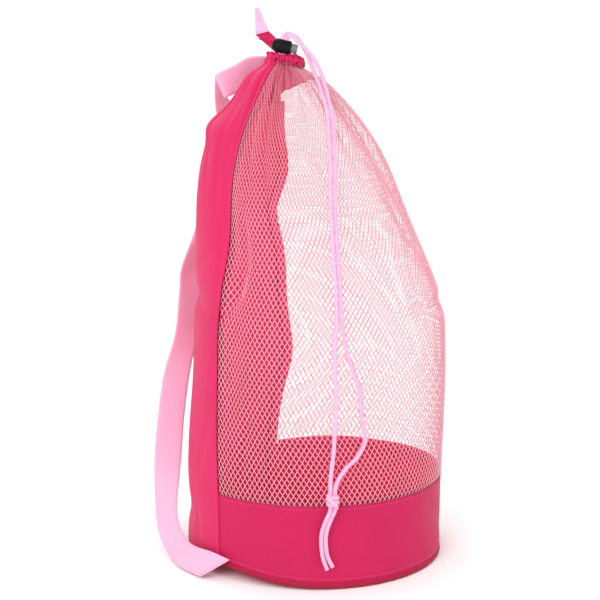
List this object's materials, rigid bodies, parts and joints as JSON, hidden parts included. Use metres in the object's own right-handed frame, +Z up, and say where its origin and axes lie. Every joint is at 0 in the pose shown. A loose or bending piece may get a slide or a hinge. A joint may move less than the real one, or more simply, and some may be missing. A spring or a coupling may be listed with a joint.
{
  "type": "mesh laundry bag",
  "caption": "Round-bottomed drawstring laundry bag of see-through net and solid cloth, with a webbing shoulder strap, a sprung cord lock and a hanging tab.",
  "frame": {"origin": "centre of the round base's underside, on the surface the bag stands on", "axes": "+Z up through the bag, -Y is the front, where the drawcord hangs down, -X is the side with the shoulder strap"},
  "size_m": [0.3415, 0.3164, 0.6365],
  "materials": {
    "hot_pink_nylon": "plain-woven nylon with a soft sheen",
    "deep_pink_binding": "plain-woven tape",
    "pink_net": "warp-knitted net",
    "light_pink_webbing": "ribbed woven webbing",
    "light_pink_cord": "braided cord",
    "light_pink_thread": "stitched thread",
    "black_plastic": "moulded, satin",
    "spring_steel": "drawn wire"
  },
  "bodies": {
    "bag": {"base_disc": "hot_pink_nylon", "base_binding": "deep_pink_binding", "base_band": "hot_pink_nylon", "back_panel": "hot_pink_nylon", "mesh_wall": "pink_net", "front_seam_tape": "deep_pink_binding", "rear_seam_tape": "deep_pink_binding", "band_seam_tape": "deep_pink_binding", "mouth_casing": "hot_pink_nylon", "drawcord_loop": "light_pink_cord", "drawcord_strand_left": "light_pink_cord", "drawcord_strand_right": "light_pink_cord", "drawcord_knot": "light_pink_cord", "drawcord_tail_left": "light_pink_cord", "drawcord_tail_right": "light_pink_cord", "cord_lock_barrel": "black_plastic", "cord_lock_spring": "spring_steel", "strap_top_end": "light_pink_webbing", "strap_top_bartack": "light_pink_thread"},
    "cord_lock_button": {"cord_lock_plunger": "black_plastic"},
    "strap": {"shoulder_strap": "light_pink_webbing"},
    "tab": {"hang_tab": "hot_pink_nylon", "hang_loop_bartack": "light_pink_thread"},
    "loop": {"hang_loop": "light_pink_webbing"}
  },
  "joints": [
    {"name": "cord_lock_button_slide", "type": "slide", "parent": "bag", "child": "cord_lock_button", "axis": [0.9781, 0, -0.2079], "range_m": [-0.003, 0], "stiffness_N_per_m": 1200, "springref_m": 0.0012, "deforming": ["cord_lock_spring"]},
    {"name": "strap_swing", "type": "hinge", "parent": "bag", "child": "strap", "pos_m": [-0.096, -0.1232, 0.025], "axis": [0.053, 0.2601, 0.9641], "range_deg": [0, 80]},
    {"name": "hang_tab_flop", "type": "hinge", "parent": "bag", "child": "tab", "pos_m": [-0.037, 0.0155, 0.5849], "axis": [1, 0, 0], "range_deg": [-80, 8], "stiffness_Nm_per_rad": 0.002},
    {"name": "hang_loop_flop", "type": "hinge", "parent": "tab", "child": "loop", "pos_m": [-0.0603, 0.012, 0.6077], "axis": [0.9669, 0, 0.2552], "range_deg": [-60, 60], "stiffness_Nm_per_rad": 0.001}
  ]
}
